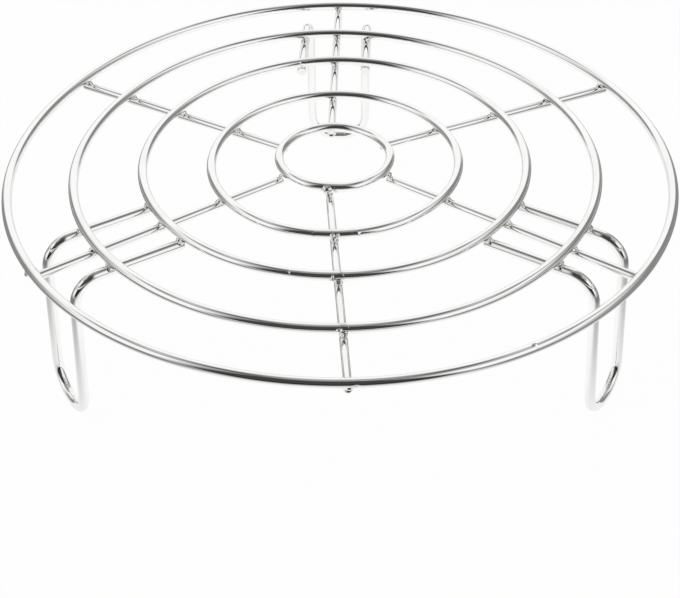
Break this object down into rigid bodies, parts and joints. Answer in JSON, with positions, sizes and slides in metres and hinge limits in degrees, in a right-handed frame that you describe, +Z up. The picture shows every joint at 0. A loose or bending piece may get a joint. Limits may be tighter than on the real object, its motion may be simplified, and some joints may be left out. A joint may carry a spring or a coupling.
{
  "type": "steamer insert",
  "caption": "Round rack of welded polished wire: concentric rings lie on radial spokes, and bent wire legs with U-shaped feet hold a dish above boiling water in a pan.",
  "frame": {"origin": "On the floor, under the middle of the outer ring.", "axes": "+Z up, +Y to the back, towards the single back leg, and +X to the right as the rack is seen from the front."},
  "size_m": [0.22, 0.22, 0.0615],
  "materials": {
    "wire": "mirror-polished stainless steel wire",
    "weld": "small welds, polished over"
  },
  "bodies": {
    "root": {"outer_ring": "wire", "second_ring": "wire", "third_ring": "wire", "fourth_ring": "wire", "inner_ring": "wire", "back_right_spoke": "wire", "back_spoke": "wire", "back_left_spoke": "wire", "front_left_spoke": "wire", "front_spoke": "wire", "front_right_spoke": "wire", "back_leg": "wire", "left_leg": "wire", "right_leg": "wire", "back_right_spoke_outer_ring_weld": "weld", "back_right_spoke_second_ring_weld": "weld", "back_right_spoke_third_ring_weld": "weld", "back_right_spoke_fourth_ring_weld": "weld", "back_right_spoke_inner_ring_weld": "weld", "back_spoke_outer_ring_weld": "weld", "back_spoke_second_ring_weld": "weld", "back_spoke_third_ring_weld": "weld", "back_spoke_fourth_ring_weld": "weld", "back_spoke_inner_ring_weld": "weld", "back_left_spoke_outer_ring_weld": "weld", "back_left_spoke_second_ring_weld": "weld", "back_left_spoke_third_ring_weld": "weld", "back_left_spoke_fourth_ring_weld": "weld", "back_left_spoke_inner_ring_weld": "weld", "front_left_spoke_outer_ring_weld": "weld", "front_left_spoke_second_ring_weld": "weld", "front_left_spoke_third_ring_weld": "weld", "front_left_spoke_fourth_ring_weld": "weld", "front_left_spoke_inner_ring_weld": "weld", "front_spoke_outer_ring_weld": "weld", "front_spoke_second_ring_weld": "weld", "front_spoke_third_ring_weld": "weld", "front_spoke_fourth_ring_weld": "weld", "front_spoke_inner_ring_weld": "weld", "front_right_spoke_outer_ring_weld": "weld", "front_right_spoke_second_ring_weld": "weld", "front_right_spoke_third_ring_weld": "weld", "front_right_spoke_fourth_ring_weld": "weld", "front_right_spoke_inner_ring_weld": "weld", "back_leg_right_arm_second_ring_weld": "weld", "back_leg_right_arm_third_ring_weld": "weld", "back_leg_left_arm_second_ring_weld": "weld", "back_leg_left_arm_third_ring_weld": "weld", "left_leg_right_arm_second_ring_weld": "weld", "left_leg_right_arm_third_ring_weld": "weld", "left_leg_left_arm_second_ring_weld": "weld", "left_leg_left_arm_third_ring_weld": "weld", "right_leg_right_arm_second_ring_weld": "weld", "right_leg_right_arm_third_ring_weld": "weld", "right_leg_left_arm_second_ring_weld": "weld", "right_leg_left_arm_third_ring_weld": "weld"}
  },
  "joints": []
}
